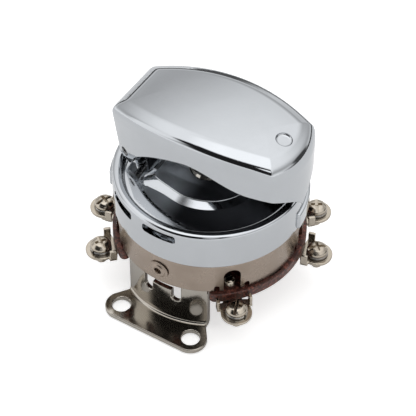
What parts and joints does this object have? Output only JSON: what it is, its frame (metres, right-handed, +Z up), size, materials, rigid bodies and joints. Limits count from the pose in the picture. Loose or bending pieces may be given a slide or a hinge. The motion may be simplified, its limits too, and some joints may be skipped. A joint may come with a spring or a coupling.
{
  "type": "ignition switch",
  "caption": "Rotary ignition switch: round terminal board with screw terminals, drum and turning dial cap with a flip-up lever cover over the key lock, on a bent two-hole bracket.",
  "frame": {"origin": "underside of the bracket flange, midway between its two holes", "axes": "+Z up along the switch axis; +X along the lever towards its narrow end; the switch axis stands 31.9 mm towards +Y from the origin"},
  "size_m": [0.0772, 0.0677, 0.0681],
  "materials": {
    "chrome": "bright plated",
    "satin_nickel": "satin nickel plate",
    "bright_nickel": "bright nickel plate",
    "terminal_nickel": "nickel plate",
    "phenolic_board": "matt laminate",
    "steel": "plain",
    "brass": "plain",
    "rotor_moulding": "matt moulding"
  },
  "bodies": {
    "switch_body": {"mounting_bracket": "bright_nickel", "bracket_rivet": "satin_nickel", "switch_drum": "satin_nickel", "terminal_board": "phenolic_board", "spindle_bush": "brass", "detent_plate": "steel", "terminal_plate_1": "terminal_nickel", "terminal_plate_2": "terminal_nickel", "terminal_plate_3": "terminal_nickel", "terminal_plate_4": "terminal_nickel", "terminal_plate_5": "terminal_nickel", "terminal_screw_1": "terminal_nickel", "terminal_screw_2": "terminal_nickel", "terminal_screw_3": "terminal_nickel", "terminal_screw_4": "terminal_nickel", "terminal_screw_5": "terminal_nickel", "lock_washer_1": "terminal_nickel", "lock_washer_2": "terminal_nickel", "lock_washer_3": "terminal_nickel", "lock_washer_4": "terminal_nickel", "lock_washer_5": "terminal_nickel", "terminal_rivet_1": "terminal_nickel", "terminal_rivet_2": "terminal_nickel", "terminal_rivet_3": "terminal_nickel", "terminal_rivet_4": "terminal_nickel", "terminal_rivet_5": "terminal_nickel"},
    "dial": {"dial_cap": "chrome", "cover_hinge_pin": "steel", "drive_plate": "steel", "drive_screw_1": "steel", "drive_screw_2": "steel", "thrust_washer": "brass", "contact_rotor": "rotor_moulding", "contact_bridge": "brass", "contact_spring": "steel", "detent_ball_1": "steel", "detent_ball_2": "steel", "detent_spring_1": "steel", "detent_spring_2": "steel", "retaining_clip": "steel"},
    "cover": {"lever_cover": "chrome"},
    "key_barrel": {"lock_barrel": "brass"},
    "bolt": {"lock_bolt": "steel"}
  },
  "joints": [
    {"name": "dial_turn", "type": "hinge", "parent": "switch_body", "child": "dial", "pos_m": [0, 0.0319, 0.0423], "axis": [0, 0, 1], "range_deg": [-45, 45]},
    {"name": "cover_flip", "type": "hinge", "parent": "dial", "child": "cover", "pos_m": [-0.023, 0.0319, 0.04685], "axis": [0, -1, 0], "range_deg": [0, 85]},
    {"name": "key_turn", "type": "hinge", "parent": "dial", "child": "key_barrel", "pos_m": [0, 0.0319, 0.0455], "axis": [0, 0, 1], "range_deg": [0, 90]},
    {"name": "bolt_throw", "type": "slide", "parent": "dial", "child": "bolt", "axis": [-1, 0, 0], "range_m": [0, 0.00212]}
  ],
  "couplings": [
    {"joint": "key_turn", "follows": "bolt_throw", "rad_per_m": 740.3}
  ]
}
